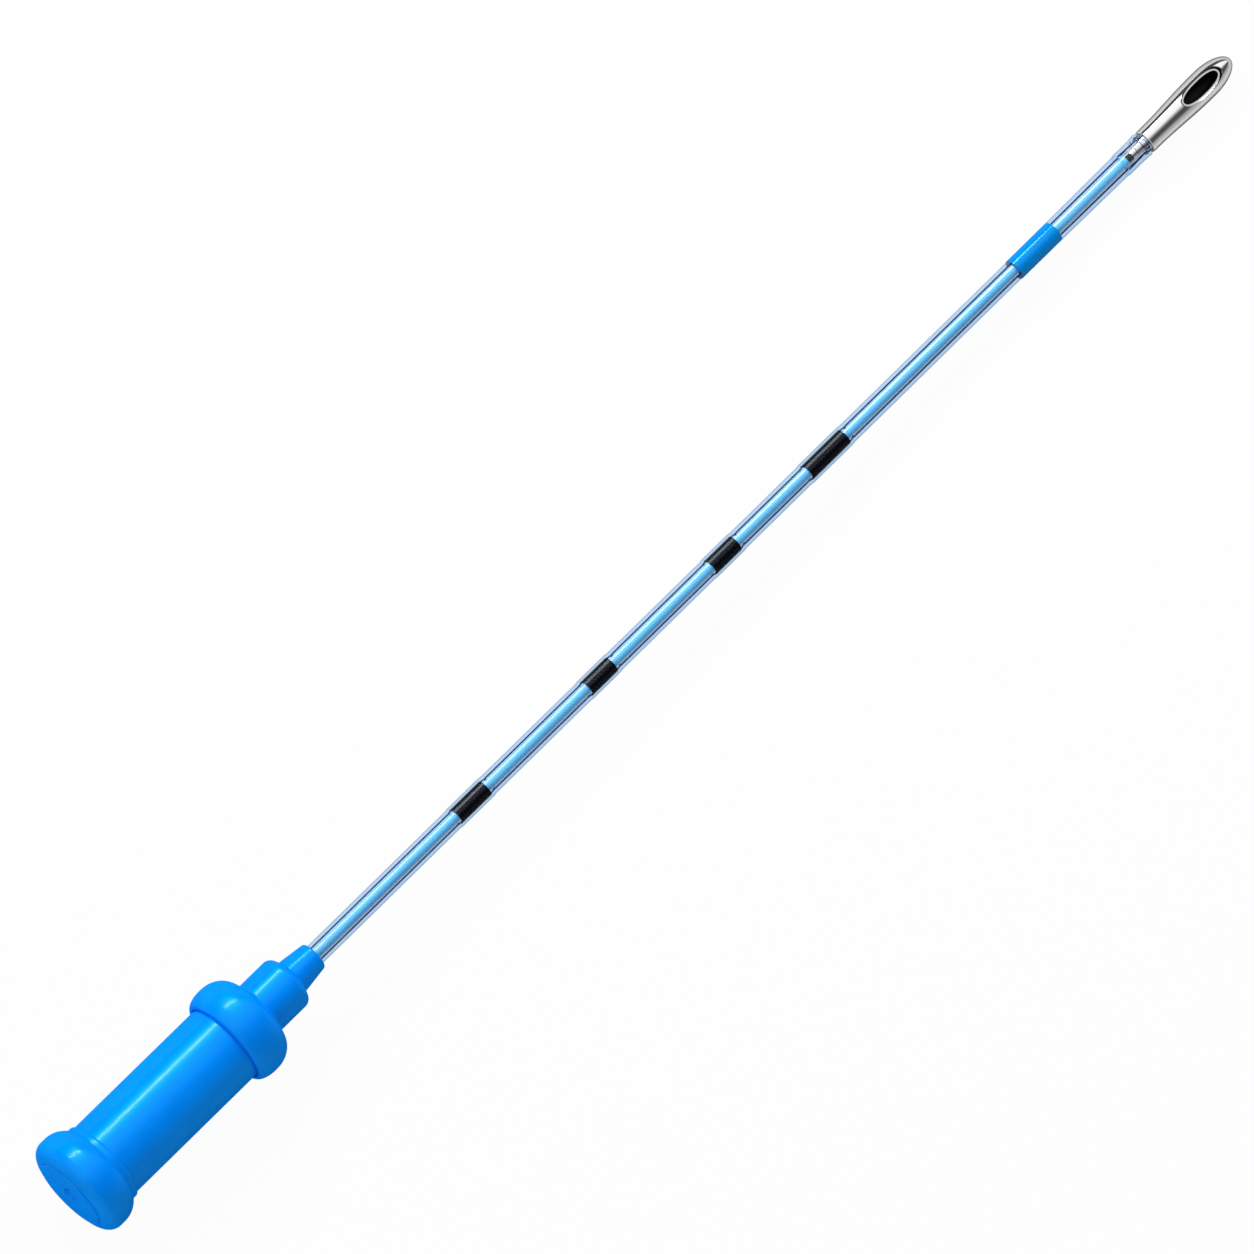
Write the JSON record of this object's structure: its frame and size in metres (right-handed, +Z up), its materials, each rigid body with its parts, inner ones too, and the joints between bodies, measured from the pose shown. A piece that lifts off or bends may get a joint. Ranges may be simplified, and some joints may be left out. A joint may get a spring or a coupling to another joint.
{
  "type": "endometrial biopsy catheter",
  "caption": "Straight suction biopsy catheter: blue pull grip, collared hub, clear sheath with dark depth rings and a blue band, sliding piston rod, and a hollow steel tip with an oval eye.",
  "frame": {"origin": "bottom centre of the catheter as it lies, on the surface it rests on", "axes": "+X from the grip towards the steel tip, along the surface, +Z up, with the eye of the tip on top; the catheter's own axis dips 1.53 degrees towards the tip"},
  "size_m": [0.2606, 0.0172, 0.0179],
  "materials": {
    "blue_moulding": "glossy moulded polypropylene",
    "clear_sheath": "clear extruded polymer",
    "clear_liner": "clear thin liner",
    "blue_band": "glossy shrunk band",
    "black_ring": "black ink on a thin ring",
    "white_guide": "natural acetal",
    "light_blue_rod": "smooth extruded rod",
    "black_rubber": "moulded rubber",
    "polished_steel": "polished stainless steel"
  },
  "bodies": {
    "sheath": {"hub": "blue_moulding", "rod_guide": "white_guide", "sheath_liner": "clear_liner", "sheath_jacket": "clear_sheath", "depth_ring_1": "black_ring", "depth_ring_2": "black_ring", "depth_ring_3": "black_ring", "depth_ring_4": "black_ring", "position_band": "blue_band", "tip_sleeve": "clear_sheath", "curette_tip": "polished_steel"},
    "plunger": {"grip_barrel": "blue_moulding", "grip_end_plug": "blue_moulding", "piston_rod": "light_blue_rod", "piston_seal": "black_rubber"}
  },
  "joints": [
    {"name": "plunger_slide", "type": "slide", "parent": "sheath", "child": "plunger", "axis": [-0.9996, 0, 0.0267], "range_m": [0, 0.1847]}
  ]
}
